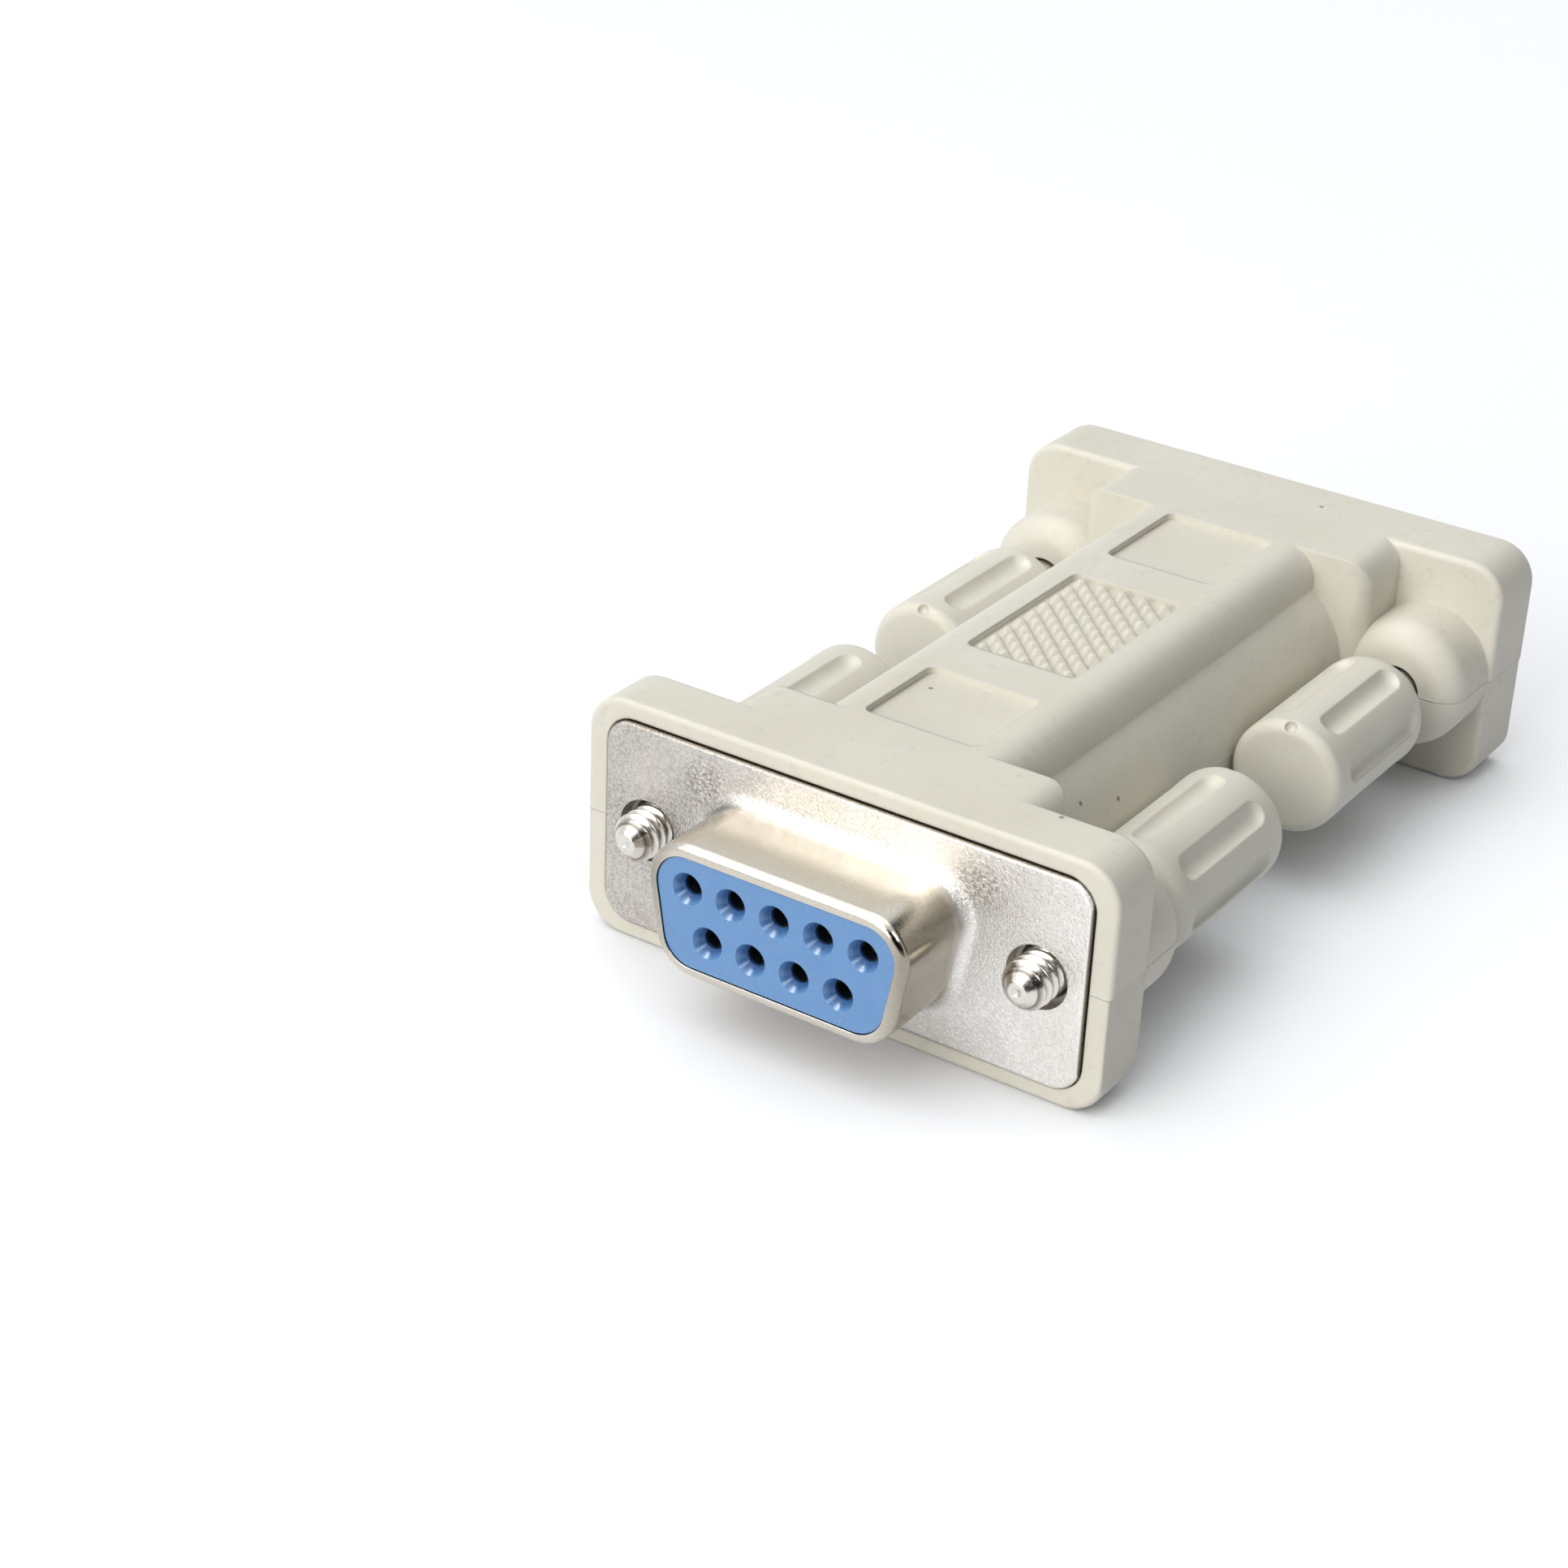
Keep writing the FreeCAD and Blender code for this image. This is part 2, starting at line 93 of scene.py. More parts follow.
class Finish(Tree):
    """A material, with its shader and the object coordinates that its pattern follows."""

    def __init__(self, name):
        self.material = bpy.data.materials.new(name)
        self.material.use_nodes = True
        self.tree = self.material.node_tree
        self.shader = self.tree.nodes["Principled BSDF"]
        self.place = self.node("ShaderNodeTexCoord").outputs["Object"]

    def set(self, **values):
        for name, value in values.items():
            self.shader.inputs[name.replace("_", " ")].default_value = value

    def axis(self, name):
        """How far along X, Y or Z the surface lies."""
        return self.node("ShaderNodeSeparateXYZ", {0: self.place}).outputs[name]

    def noise(self, size, detail=3, roughness=0.5):
        """Noise whose lumps are about this many millimetres across."""
        inputs = {"Scale": 1 / (size * mm), "Detail": detail, "Roughness": roughness}
        inputs["Vector"] = self.place
        return self.node("ShaderNodeTexNoise", inputs).outputs[0]

    def blend(self, share, first, second):
        """Colour that goes from the first to the second as the share goes from 0 to 1."""
        inputs = {0: share, 6: first, 7: second}
        return self.node("ShaderNodeMix", inputs, data_type="RGBA").outputs[2]

    def bump(self, height, depth, normal=None):
        """Relief of this many millimetres, over another normal where one is given."""
        inputs = {"Height": height, "Distance": depth * mm, "Strength": 1.0}
        if normal is not None:
            inputs["Normal"] = normal
        return self.node("ShaderNodeBump", inputs).outputs[0]

    def soft_edges(self, radius):
        return self.node("ShaderNodeBevel", {"Radius": radius * mm}, samples=8).outputs[0]

    def plug(self, **links):
        for name, socket in links.items():
            self.tree.links.new(socket, self.shader.inputs[name.replace("_", " ")])


def dress(finish, *names):
    """Gives CAD nodes this finish."""
    for name in names:
        for slot in nodes[name].material_slots:
            slot.material = finish.material


contact_gold = Finish("contact_gold")
contact_gold.set(Metallic=1.0)
tarnish = contact_gold.noise(0.5)
contact_gold.plug(
    Base_Color=contact_gold.blend(tarnish, linear(186, 158, 96), linear(214, 190, 132)),
    Roughness=contact_gold.spread(tarnish, 0.25, 0.4),
    Normal=contact_gold.bump(contact_gold.noise(0.05), 0.004),
)
contact_names = [f"{end}_contact_{number}" for end in ("near", "far") for number in range(1, 10)]
dress(contact_gold, *contact_names)


# Circuit board: green glass-epoxy, 1.2 mm thick, with the contact tails soldered flat to it.
# The moulding closes round it, so it never shows from outside.
laminate = Finish("glass_epoxy_laminate")
laminate.set(Roughness=0.4)
weave = laminate.noise(0.4)
laminate.plug(
    Base_Color=laminate.blend(weave, linear(28, 92, 52), linear(40, 112, 66)),
    Normal=laminate.bump(weave, 0.01),
)
dress(laminate, "circuit_board")


# Rear insulators: black glass-filled mouldings that hold the contacts from behind.
# They too are closed in by the moulding.
black_plastic = Finish("black_insulator_plastic")
black_grain = black_plastic.noise(0.15)
black_plastic.plug(
    Base_Color=black_plastic.blend(black_grain, linear(26, 26, 28), linear(40, 40, 42)),
    Roughness=black_plastic.spread(black_grain, 0.4, 0.55),
    Normal=black_plastic.bump(black_grain, 0.006),
)
dress(black_plastic, "near_rear_insulator", "far_rear_insulator")


# Face insulators: blue thermoplastic, moulded with nine countersunk contact entries,
# glossy on the face, with faint flow marks and specks of the glass filler. The countersinks
# are painted a shade darker than the face, a painted shade, and the holes behind them are painted
# almost black, a painted shade for their depth.
face_round = 0.05 * mm
countersink_depth = 0.4 * mm
hole_shade_start = 0.6 * mm
hole_shade_full = 0.85 * mm
blue_plastic = Finish("blue_insulator_plastic")
blue_plastic.set(Coat_Weight=0.4, Coat_Roughness=0.12, Specular_IOR_Level=0.6)
flow = blue_plastic.noise(1.6, 4)
filler = blue_plastic.noise(0.12, 2)
specks = blue_plastic.spread(filler, 0, 1, 0.62, 0.75)
flow_colour = blue_plastic.blend(flow, linear(86, 135, 190), linear(100, 148, 200))
filled_colour = blue_plastic.blend(specks, flow_colour, linear(102, 149, 202))
face_at = -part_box("near_face_insulator")[0][1]
below_face = blue_plastic.minus(face_at, blue_plastic.magnitude(blue_plastic.axis("Y")))
# Painted shade: the countersinks and the contact holes get darker with depth behind the face.
countersink_painted_shade = blue_plastic.spread(below_face, 0, 1, face_round, countersink_depth)
hole_painted_shade = blue_plastic.spread(below_face, 0, 1, hole_shade_start, hole_shade_full)
shaded_colour = blue_plastic.blend(countersink_painted_shade, filled_colour, linear(66, 106, 158))
blue_plastic.plug(
    Base_Color=blue_plastic.blend(hole_painted_shade, shaded_colour, linear(22, 28, 40)),
    Roughness=blue_plastic.spread(filler, 0.2, 0.3),
    Normal=blue_plastic.bump(filler, 0.006, blue_plastic.soft_edges(0.03)),
)
dress(blue_plastic, "near_face_insulator", "far_face_insulator")


# Shells: steel plates, tin plated, with the D-shaped tube drawn out of the face ones. The plate
# keeps a frosty satin from the sheet, with painted light making it brighter on the right, and is
# rubbed smoother round the tube. Drawing has polished the tube and left orange peel at its upper
# corners, where a painted dark reflection lies on the plate. The tube's sides carry painted shade,
# and the plate's rim carries a thin painted shade line.
sheet_thickness = 0.5 * mm
tube_half_width = 8.2 * mm
tube_half_height = 3.95 * mm
tube_side_start, tube_side_full = 6.4 * mm, 7.9 * mm
polish_start, polish_full = 0.3 * mm, 1.3 * mm
rubbed_start, rubbed_end = 0.3 * mm, 3.6 * mm
edge_shade_band, edge_shade_full = 0.12 * mm, 0.04 * mm
painted_shade_at, painted_light_at = -12 * mm, 10 * mm
peel_beside, peel_above = 0.5 * mm, 0.2 * mm
peel_inner, peel_outer = 0.5 * mm, 2.3 * mm
peel_fade = 1 * mm
painted_reflection_share = 0.65
peel_relief = 1.6
frost_on_tube = 0.17
shell_low, shell_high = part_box("near_face_shell")
plate_half_width = (shell_high[0] - shell_low[0]) / 2
plate_half_height = (shell_high[2] - shell_low[2]) / 2
plate_face = sheet_thickness - shell_high[1]
parting_height = (shell_low[2] + shell_high[2]) / 2

plated_steel = Finish("plated_sheet_steel")
plated_steel.set(Metallic=1.0)
shell_x = plated_steel.axis("X")
shell_z = plated_steel.axis("Z")
sideways = plated_steel.magnitude(shell_x)
from_parting = plated_steel.magnitude(plated_steel.minus(shell_z, parting_height))
from_middle = plated_steel.magnitude(plated_steel.axis("Y"))
drawn = plated_steel.spread(from_middle, 0, 1, plate_face + polish_start, plate_face + polish_full)
# Painted shade: the tube's sides are painted darker than its top.
tube_side_painted_shade = plated_steel.spread(sideways, 0, 1, tube_side_start, tube_side_full)
beside = plated_steel.minus(sideways, tube_half_width)
above = plated_steel.minus(from_parting, tube_half_height)
from_tube = plated_steel.math("MAXIMUM", beside, above)
rubbed = plated_steel.spread(from_tube, 0.3, 1, rubbed_start, rubbed_end)
past_side = plated_steel.minus(sideways, plate_half_width)
past_top = plated_steel.minus(from_parting, plate_half_height)
past_edge = plated_steel.math("MAXIMUM", past_side, past_top)
# Painted shade: a thin dark line just inside the plate's outer edge, which also dims its highlight.
edge_painted_shade = plated_steel.spread(past_edge, 0, 1, -edge_shade_band, -edge_shade_full)

# Beside the tube's upper corners: orange peel relief, and a painted dark reflection on the plate.
peel_place = {
    "X": plated_steel.minus(beside, peel_beside),
    "Y": plated_steel.minus(above, peel_above),
}
peel_offset = plated_steel.node("ShaderNodeCombineXYZ", peel_place).outputs[0]
off_peel = plated_steel.node("ShaderNodeVectorMath", {0: peel_offset}, operation="LENGTH")
from_peel = off_peel.outputs["Value"]
near_corner = plated_steel.spread(from_peel, 1, 0, peel_inner, peel_outer, "SMOOTHSTEP")
upper_half = plated_steel.spread(shell_z, 0, 1, parting_height, parting_height + peel_fade)
peel_and_painted_reflection = plated_steel.times(near_corner, upper_half)

frost = plated_steel.noise(0.14, 3, 0.7)
frosted = plated_steel.spread(frost, 0, 1)
cloudy = plated_steel.spread(plated_steel.noise(3.2, 3), 0, 0.5)
peel = plated_steel.noise(0.17, 3, 0.7)
peeled = plated_steel.spread(peel, 0, 1, 0.36, 0.64)
painted_shade_crystals = plated_steel.blend(frosted, linear(138, 134, 129), linear(210, 206, 201))
painted_light_crystals = plated_steel.blend(frosted, linear(224, 221, 216), linear(253, 252, 250))
# Painted light: the plate's crystals go from painted shade on the left to painted light on the
# right.
painted_light_to_right = plated_steel.spread(shell_x, 0, 1, painted_shade_at, painted_light_at)
crystals_with_painted_light = plated_steel.blend(painted_light_to_right, painted_shade_crystals, painted_light_crystals)
flat_colour = plated_steel.blend(cloudy, crystals_with_painted_light, linear(214, 208, 200))
# Painted reflection: the dark, mottled colour of the patch beside the tube's upper corners.
painted_reflection_colour = plated_steel.blend(peeled, linear(78, 72, 64), linear(222, 218, 210))
painted_reflection_mix = plated_steel.times(peel_and_painted_reflection, painted_reflection_share)
sheet_colour = plated_steel.blend(painted_reflection_mix, flat_colour, painted_reflection_colour)
top_colour = plated_steel.blend(frost, linear(190, 183, 171), linear(220, 214, 203))
# Painted shade colour for the tube's sides.
tube_side_shade_colour = plated_steel.blend(frost, linear(134, 127, 114), linear(176, 169, 156))
tube_colour = plated_steel.blend(tube_side_painted_shade, top_colour, tube_side_shade_colour)
shell_colour = plated_steel.blend(drawn, sheet_colour, tube_colour)

sheet_roughness = plated_steel.times(plated_steel.spread(frost, 0.22, 0.36), rubbed)
tube_roughness = plated_steel.spread(frost, 0.1, 0.17)
roughnesses = {0: drawn, 2: sheet_roughness, 3: tube_roughness}
frost_depth = plated_steel.spread(drawn, 1, frost_on_tube, 0, 1)
peel_depth = plated_steel.times(peel_and_painted_reflection, plated_steel.spread(drawn, peel_relief, 0, 0, 1))
frost_height = plated_steel.times(frost, frost_depth)
shell_relief = plated_steel.plus(frost_height, plated_steel.times(peel, peel_depth))
plated_steel.plug(
    Base_Color=plated_steel.blend(edge_painted_shade, shell_colour, linear(122, 114, 102)),
    Roughness=plated_steel.node("ShaderNodeMix", roughnesses).outputs[0],
    Normal=plated_steel.bump(shell_relief, 0.056, plated_steel.soft_edges(0.06)),
)
dress(plated_steel, "near_face_shell", "far_face_shell", "near_rear_shell", "far_rear_shell")


# Moulded body: beige PVC shot round the board and both connectors in one piece.
# The tool leaves a fine satin grain, a witness line where its halves met, and a few specks.
dark_specks = (
    (7.75, -14.0, 10.8),
    (8.27, -10.6, 9.83),
    (-2.5, -13.5, 14.4),
    (11.2, -22.6, 14.8),
    (3.4, 23.1, 14.8),
)
speck_core, speck_edge = 0.07 * mm, 0.2 * mm
witness_core, witness_edge = 0.02 * mm, 0.08 * mm
grain_share = 0.2
pvc = Finish("beige_pvc")
pvc.set(Subsurface_Weight=0.08, Subsurface_Scale=1 * mm)
pvc.shader.inputs["Subsurface Radius"].default_value = (1.0, 0.8, 0.6)
grain = pvc.noise(0.18, 3)
mottled = pvc.spread(pvc.noise(7.0, 2), 0, 1)
scuffed = pvc.spread(pvc.noise(0.9, 5, 0.7), 0, 1, 0.56, 0.7)
off_line = pvc.magnitude(pvc.minus(pvc.axis("Z"), parting_height))
witness = pvc.spread(off_line, 1, 0, witness_core, witness_edge)
relief = pvc.plus(pvc.times(grain, grain_share), witness)
pvc_colour = pvc.blend(mottled, linear(215, 212, 199), linear(221, 218, 206))
pvc_colour = pvc.blend(scuffed, pvc_colour, linear(209, 206, 194))
for speck in dark_specks:
    inputs = {0: pvc.place, 1: [value * mm for value in speck]}
    distance = pvc.node("ShaderNodeVectorMath", inputs, operation="DISTANCE").outputs["Value"]
    in_speck = pvc.spread(distance, 0.8, 0, speck_core, speck_edge)
    pvc_colour = pvc.blend(in_speck, pvc_colour, linear(92, 78, 62))
pvc.plug(
    Base_Color=pvc_colour,
    Roughness=pvc.spread(grain, 0.42, 0.55),
    Normal=pvc.bump(relief, 0.05, pvc.soft_edges(0.22)),
)
dress(pvc, "overmould")


# Thumbscrews: turned steel with a rolled 4-40 thread, nickel plated. The head is inside
# the grip, and the tip is chamfered, with the small dimple that the lathe leaves at its centre.
crest_radius = 1.42
root_radius = 1.06
thread_pitch = 0.635
thread_length = 6.0
tip_radius = 0.6
tip_chamfer = 0.85
dimple_radius = 0.22
dimple_floor_radius = 0.16
dimple_depth = 0.06
shank_radius = 1.5
screw_head_radius = 2.1
screw_head_start = 12.6
screw_length = 20.6
groove_edge = root_radius + 0.6 * (crest_radius - root_radius)
tip_end, tip_clear = root_radius - 0.1, root_radius - 0.02
groove_shade_share = 0.8
flank_start, flank_end = 0.15, 0.85
weld_distance = 0.001
sharp_angle = 55
around = 64
rows_per_turn = 16


class Recipe(Tree):
    """A Geometry Nodes tree, with a named input for each of its sizes and for its finish."""

    def __init__(self, name, *sizes):
        self.tree = bpy.data.node_groups.new(name, "GeometryNodeTree")
        sockets = self.tree.interface
        sockets.new_socket("Geometry", in_out="OUTPUT", socket_type="NodeSocketGeometry")
        sockets.new_socket("Geometry", in_out="INPUT", socket_type="NodeSocketGeometry")
        for size in sizes:
            sockets.new_socket(size, in_out="INPUT", socket_type="NodeSocketFloat")
        sockets.new_socket("Finish", in_out="INPUT", socket_type="NodeSocketMaterial")
        self.given = self.tree.nodes.new("NodeGroupInput").outputs

    def serve(self, geometry):
        """Ends the tree with this geometry, made real and given its finish."""
        real = self.node("GeometryNodeRealizeInstances", {0: geometry}).outputs[0]
        inputs = {"Geometry": real, "Material": self.given["Finish"]}
        self.node("NodeGroupOutput", {0: self.node("GeometryNodeSetMaterial", inputs).outputs[0]})

    def grow(self, piece, finish, sizes):
        """Runs the tree on a piece, with its sizes in millimetres, and keeps the plain result."""
        modifier = piece.modifiers.new(self.tree.name, "NODES")
        modifier.node_group = self.tree
        for socket in self.tree.interface.items_tree:
            if socket.name == "Finish":
                modifier[socket.identifier] = finish.material
            elif socket.name in sizes:
                modifier[socket.identifier] = sizes[socket.name] * mm
        evaluated = piece.evaluated_get(bpy.context.evaluated_depsgraph_get())
        piece.data = bpy.data.meshes.new_from_object(evaluated)
        piece.modifiers.clear()


def thread_recipe(names):
    """Wraps a grid round Y into a thread, along helical rows, and joins it to what it is given."""
    recipe = Recipe("screw_thread", *names)
    crest, root, pitch, length, tip, chamfer, shank = [recipe.given[name] for name in names]
    turns = recipe.plus(recipe.math("CEIL", recipe.math("DIVIDE", length, pitch)), 1)
    rows = recipe.plus(recipe.times(turns, rows_per_turn), 1)
    inputs = {"Size X": 1, "Size Y": 1, "Vertices X": around + 1, "Vertices Y": rows}
    grid = recipe.node("GeometryNodeMeshGrid", inputs).outputs[0]

    place = recipe.node("GeometryNodeInputPosition").outputs[0]
    across = recipe.node("ShaderNodeSeparateXYZ", {0: place}).outputs
    round_share = recipe.plus(across["X"], 0.5)
    turn = recipe.times(recipe.plus(across["Y"], 0.5), turns)
    climb = recipe.times(recipe.plus(turn, recipe.minus(round_share, 1)), pitch)
    along = recipe.math("MINIMUM", recipe.math("MAXIMUM", climb, 0), length)

    wave = recipe.magnitude(recipe.minus(recipe.times(recipe.math("FRACT", turn), 2), 1))
    flank = recipe.spread(wave, root, crest, flank_start, flank_end)
    slope = recipe.math("DIVIDE", recipe.minus(crest, tip), chamfer)
    cut = recipe.math("MINIMUM", flank, recipe.plus(recipe.times(along, slope), tip))
    run_out = recipe.spread(along, 0, 1, recipe.minus(length, pitch), length)
    radius = recipe.plus(cut, recipe.times(recipe.minus(shank, cut), run_out))

    angle = recipe.times(round_share, -2 * math.pi)
    x = recipe.times(radius, recipe.math("COSINE", angle))
    z = recipe.times(radius, recipe.math("SINE", angle))
    wrapped = recipe.node("ShaderNodeCombineXYZ", {"X": x, "Y": along, "Z": z}).outputs[0]
    inputs = {"Geometry": grid, "Position": wrapped}
    thread = recipe.node("GeometryNodeSetPosition", inputs).outputs[0]
    joined = recipe.node("GeometryNodeJoinGeometry")
    recipe.tree.links.new(recipe.given["Geometry"], joined.inputs[0])
    recipe.tree.links.new(thread, joined.inputs[0])
    inputs = {"Geometry": joined.outputs[0], "Distance": weld_distance * mm}
    merged = recipe.node("GeometryNodeMergeByDistance", inputs).outputs[0]
    recipe.serve(recipe.node("GeometryNodeSetShadeSmooth", {0: merged}).outputs[0])
    return recipe


def turned_mesh(name, *profiles):
    """Mesh turned round Y from profiles of (radius, y) in millimetres, taken outwards and along."""
    points = []
    faces = []
    for profile in profiles:
        rings = []
        for radius, y in profile:
            count = around if radius > 0 else 1
            rings.append([len(points) + step for step in range(count)])
            for step in range(count):
                angle = 2 * math.pi * step / around
                x, z = radius * math.cos(angle), -radius * math.sin(angle)
                points.append((x * mm, y * mm, z * mm))
        for ring, following in zip(rings, rings[1:]):
            for step in range(around):
                ahead = step + 1
                corners = [ring[step % len(ring)], ring[ahead % len(ring)]]
                corners += [following[ahead % len(following)], following[step % len(following)]]
                faces.append(list(dict.fromkeys(corners)))
    mesh = bpy.data.meshes.new(name)
    mesh.from_pydata(points, [], faces)
    return mesh


def new_piece(name, mesh):
    piece = bpy.data.objects.new(name, mesh)
    bpy.context.scene.collection.objects.link(piece)
    return piece


nickel = Finish("nickel_plated_steel")
nickel.set(Metallic=1.0)
brushing = nickel.noise(0.12, 3)
screw_low, screw_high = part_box("near_right_screw")
screw_out = (screw_low[0] + screw_high[0]) / 2
off_centre = nickel.minus(nickel.magnitude(nickel.axis("X")), screw_out)
rise = nickel.minus(nickel.axis("Z"), parting_height)
squares = nickel.plus(nickel.math("POWER", off_centre, 2), nickel.math("POWER", rise, 2))
from_axis = nickel.math("SQRT", squares)
# Painted shade: the thread grooves are painted darker, except on the tip's chamfer.
in_groove_shade = nickel.spread(from_axis, 1, 0, root_radius * mm, groove_edge * mm)
off_tip = nickel.spread(from_axis, 0, 1, tip_end * mm, tip_clear * mm)
groove_painted_shade = nickel.times(nickel.times(in_groove_shade, off_tip), groove_shade_share)
bright = nickel.blend(brushing, linear(198, 193, 184), linear(234, 231, 225))
nickel.plug(
    Base_Color=nickel.blend(groove_painted_shade, bright, linear(88, 80, 70)),
    Roughness=nickel.spread(brushing, 0.18, 0.3),
    Normal=nickel.bump(brushing, 0.004),
)
dimple = [(0, dimple_depth), (dimple_floor_radius, dimple_depth), (dimple_radius, 0)]
shank = [(shank_radius, thread_length), (shank_radius, screw_head_start)]
head = [(screw_head_radius, screw_head_start), (screw_head_radius, screw_length), (0, screw_length)]
screw_mesh = turned_mesh("screw_pattern", dimple + [(tip_radius, 0)], shank + head)
screw = new_piece("screw_pattern", screw_mesh)
thread_sizes = {
    "Crest radius": crest_radius,
    "Root radius": root_radius,
    "Pitch": thread_pitch,
    "Length": thread_length,
    "Tip radius": tip_radius,
    "Chamfer": tip_chamfer,
    "Shank radius": shank_radius,
}
thread_recipe(tuple(thread_sizes)).grow(screw, nickel, thread_sizes)
screw.data.set_sharp_from_angle(angle=math.radians(sharp_angle))
for end, facing in (("near", 0), ("far", math.pi)):
    for side in ("left", "right"):
        low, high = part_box(f"{end}_{side}_screw")
        tip_y = low[1] if end == "near" else high[1]
        middle = Vector(((low[0] + high[0]) / 2, tip_y, (low[2] + high[2]) / 2))
        mesh = screw.data.copy()
        mesh.transform(Matrix.Translation(middle) @ Matrix.Rotation(facing, 4, "Z"))
        piece = new_piece(f"{end}_{side}_threaded_screw", mesh)
        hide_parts(f"{end}_{side}_screw")
        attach(piece, f"{end}_{side}_screw_body")
bpy.data.objects.remove(screw)


# Grips: the same beige PVC, moulded round the head of each screw, a little smoother.
# Their flutes and ends are well rounded, so edges catch a soft light.
grip_pvc = Finish("beige_grip_pvc")
grip_pvc.set(Subsurface_Weight=0.08, Subsurface_Scale=1 * mm)
grip_grain = grip_pvc.noise(0.2, 2)
grip_mottled = grip_pvc.spread(grip_pvc.noise(4.0, 2), 0, 1)
grip_pvc.plug(
    Base_Color=grip_pvc.blend(grip_mottled, linear(214, 212, 199), linear(220, 218, 206)),
    Roughness=grip_pvc.spread(grip_grain, 0.36, 0.48),
    Normal=grip_pvc.bump(grip_grain, 0.006, grip_pvc.soft_edges(0.25)),
)
dress(grip_pvc, *[f"{end}_{side}_grip" for end in ("near", "far") for side in ("left", "right")])


# Floor: a plain white sweep. It glows a little to the camera and in the metal, and a painted
# contact shadow cuts that glow where the object stands close over it. It turns fully white towards
# the horizon.
floor_reach = 2.0
shade_distance = 14 * mm
camera_glow, mirror_glow = 0.36, 0.42
shaded_share, open_share = 0.15, 0.75
fade_start, fade_end = 0.3, 0.9
floor_mesh = bpy.data.meshes.new("floor")
floor_corners = [
    (-floor_reach, -floor_reach, 0),
    (floor_reach, -floor_reach, 0),
    (floor_reach, floor_reach, 0),
    (-floor_reach, floor_reach, 0),
]
floor_mesh.from_pydata(floor_corners, [], [(0, 1, 2, 3)])
floor = new_piece("floor", floor_mesh)
white_sweep = Finish("white_sweep")
white_sweep.set(Roughness=0.9, Specular_IOR_Level=0.0, Emission_Color=(1, 1, 1, 1))
paper = white_sweep.noise(30.0)
floor_rays = white_sweep.node("ShaderNodeLightPath").outputs
camera_lift = white_sweep.times(floor_rays["Is Camera Ray"], camera_glow)
mirror_lift = white_sweep.times(floor_rays["Is Glossy Ray"], mirror_glow)
# Painted shadow: ambient occlusion dims the floor's glow where the object stands close over it.
shade = white_sweep.node("ShaderNodeAmbientOcclusion", {"Distance": shade_distance}, samples=8)
painted_shadow_openness = white_sweep.spread(shade.outputs["AO"], 0.05, 1.0, shaded_share, open_share)
glow = white_sweep.times(white_sweep.plus(camera_lift, mirror_lift), painted_shadow_openness)
far_off = white_sweep.node("ShaderNodeVectorMath", {0: white_sweep.place}, operation="LENGTH")
faded = white_sweep.spread(far_off.outputs["Value"], 0, 1, fade_start, fade_end)
horizon = white_sweep.times(faded, floor_rays["Is Camera Ray"])
white_sweep.plug(
    Base_Color=white_sweep.blend(paper, linear(216, 218, 222), linear(218, 220, 224)),
    Emission_Strength=white_sweep.math("MAXIMUM", glow, horizon),
)
floor_mesh.materials.append(white_sweep.material)


# Light: a large soft box high on the front left, a broad one overhead and a small warm one
# low in front. The room is a soft fill, strongest from the left. In the metal it is a bright
# room with two dark sides, which give the shell its contrast, and two small windows.
lamp_distance = 1.0
backdrop_white = 1.04


def softbox(name, heading, size, power, tint=(1, 1, 1)):
    lamp = bpy.data.lights.new(name, "AREA")
    lamp.shape = "DISK"
    lamp.size = size
    lamp.energy = power
    lamp.color = tint
    away = Vector(heading).normalized()
    box = new_piece(name, lamp)
    box.location = away * lamp_distance
    box.rotation_euler = away.to_track_quat("Z", "Y").to_euler()


softbox("key_light", (-0.35, -0.85, 1.0), 1.1, 4.45, (1.0, 0.99, 0.97))
softbox("top_light", (-0.2, 0.15, 1.0), 1.2, 3.2)
softbox("front_light", (-0.1, -1.0, 0.42), 0.6, 3.4, (1.0, 0.95, 0.88))
room = bpy.data.worlds.new("room")
bpy.context.scene.world = room
room.use_nodes = True
air = Tree()
air.tree = room.node_tree
sky_rays = air.node("ShaderNodeLightPath").outputs
direction = air.node("ShaderNodeTexCoord").outputs["Generated"]


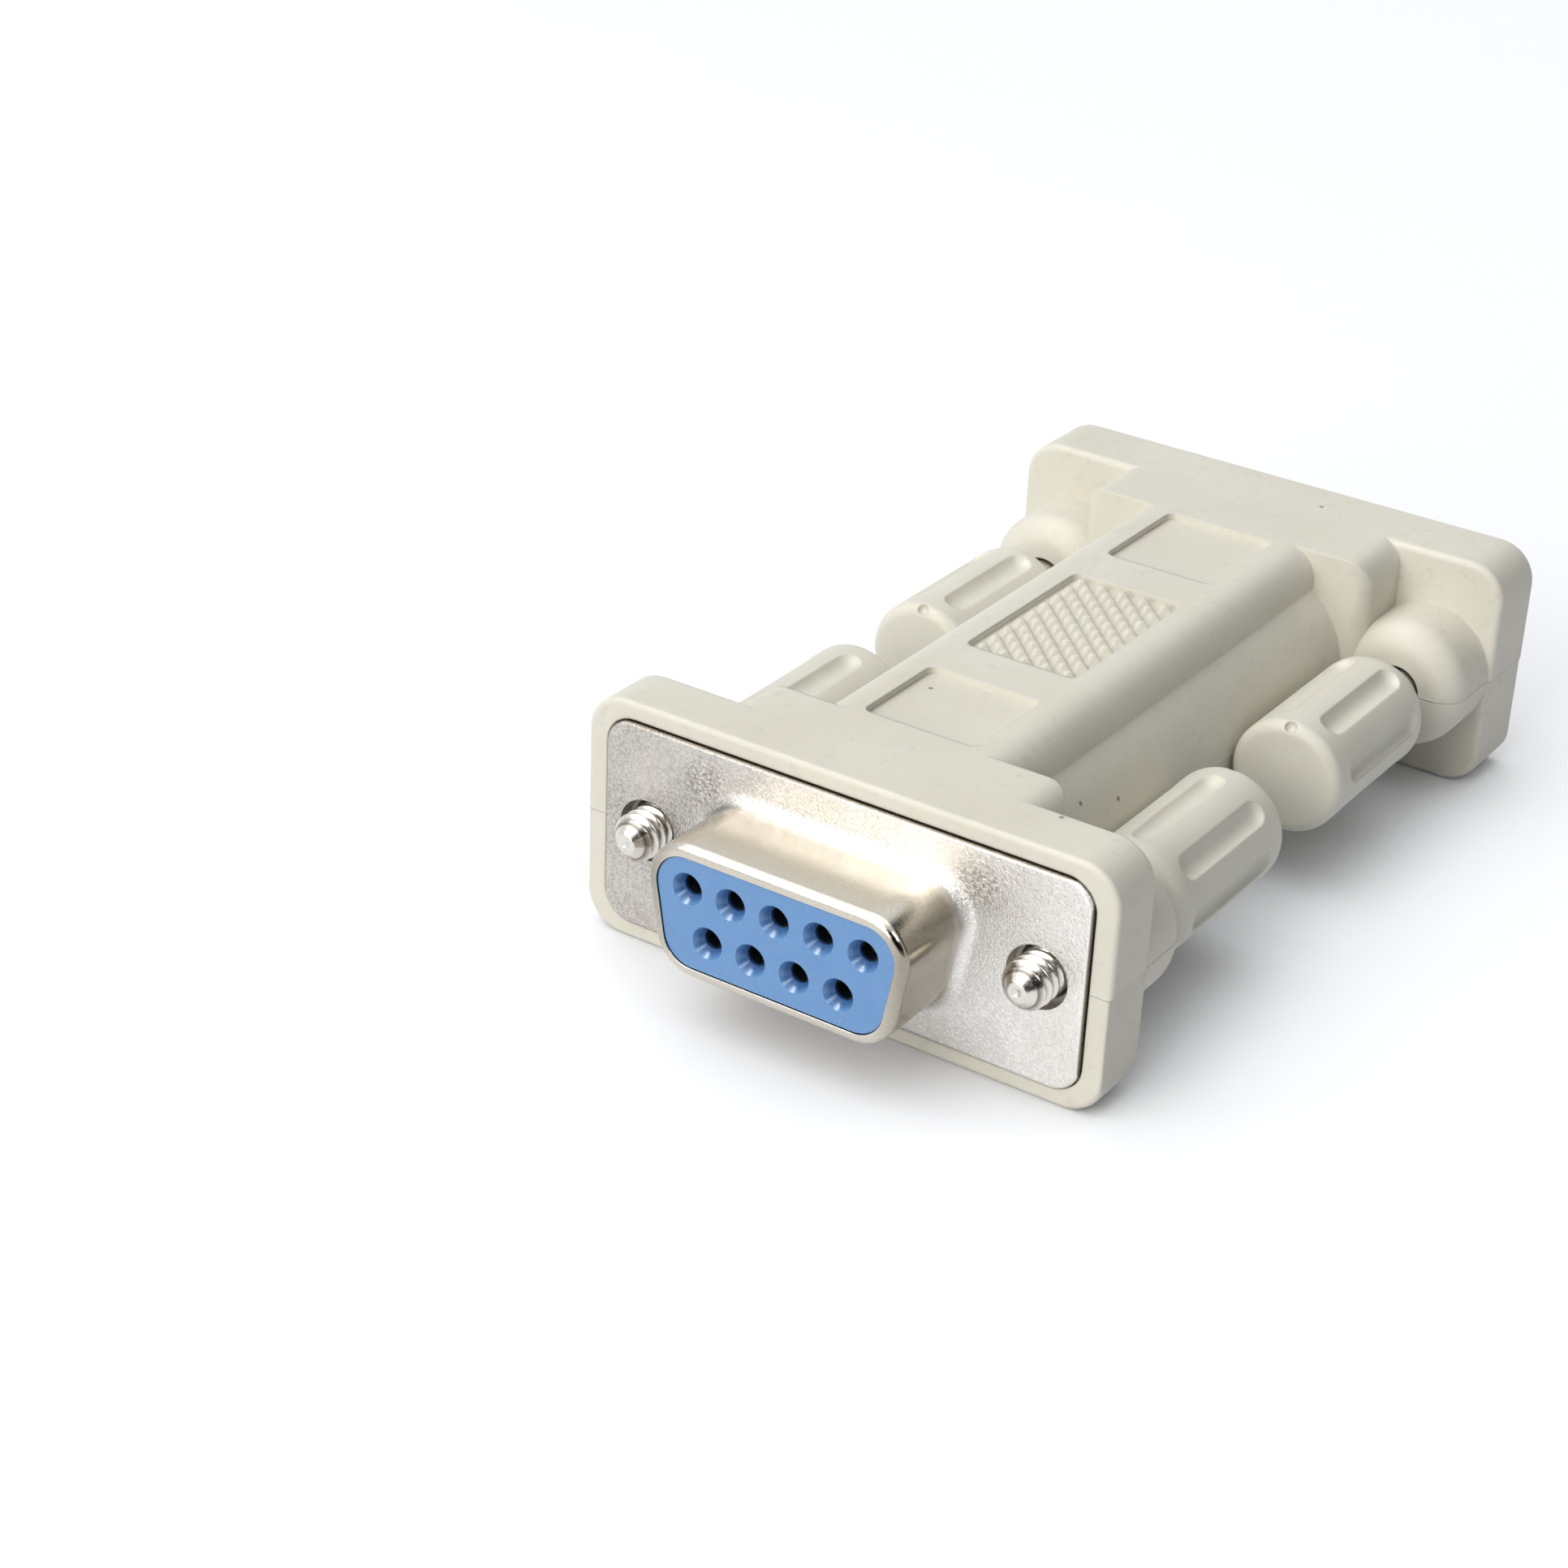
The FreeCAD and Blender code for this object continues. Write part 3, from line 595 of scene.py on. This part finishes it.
def towards(heading, value, elsewhere, inner, outer):
    """The value within this many degrees of a heading, easing to another value further off."""
    inputs = {0: direction, 1: Vector(heading).normalized()[:]}
    aim = air.node("ShaderNodeVectorMath", inputs, operation="DOT_PRODUCT").outputs["Value"]
    edge = [math.cos(math.radians(angle)) for angle in (outer, inner)]
    return air.spread(aim, elsewhere, value, *edge, "SMOOTHSTEP")


dark_back = towards((0.62, 0.72, 0.3), 0.04, 1.0, 28, 40)
dark_front = towards((0.66, -0.68, 0.3), 0.0, 1.0, 26, 46)
side_window = towards((0.67, -0.28, 0.68), 5.0, 0.0, 7, 13)
roof_window = towards((-0.3, -0.15, 0.9), 8.0, 0.0, 9, 14)
soft_fill = towards((-0.55, -0.5, 0.65), 0.52, 0.05, 0, 125)
walls = air.times(dark_back, dark_front)
mirrored = air.plus(walls, air.plus(side_window, roof_window))
for_metal = air.times(mirrored, sky_rays["Is Glossy Ray"])
for_others = air.times(air.minus(1, sky_rays["Is Glossy Ray"]), soft_fill)
backdrop = air.times(sky_rays["Is Camera Ray"], backdrop_white)
sky = air.tree.nodes["Background"]
sky.inputs["Color"].default_value = (0.97, 0.985, 1.0, 1)
strength = air.math("MAXIMUM", air.plus(for_others, for_metal), backdrop)
air.tree.links.new(strength, sky.inputs["Strength"])


# Camera: a short telephoto from the right of the near connector, looking down on it.
# Its place and angles, in millimetres and degrees, were fitted to the photograph.
camera_place = Vector((81.86, -156.17, 96.17)) * mm
camera_azimuth = 33.334
camera_elevation = 28.048
camera_roll = 2.538
sensor_width = 36.0
focal_length = 76.214
lens = bpy.data.cameras.new("camera")
lens.sensor_width = sensor_width
lens.lens = focal_length
lens.clip_start = 0.01
camera = new_piece("camera", lens)
azimuth = Matrix.Rotation(math.radians(camera_azimuth), 4, "Z")
tilt = Matrix.Rotation(math.radians(90 - camera_elevation), 4, "X")
roll = Matrix.Rotation(math.radians(camera_roll), 4, "Z")
camera.matrix_world = Matrix.Translation(camera_place) @ azimuth @ tilt @ roll
bpy.context.scene.camera = camera

bpy.context.scene.view_settings.view_transform = "Standard"
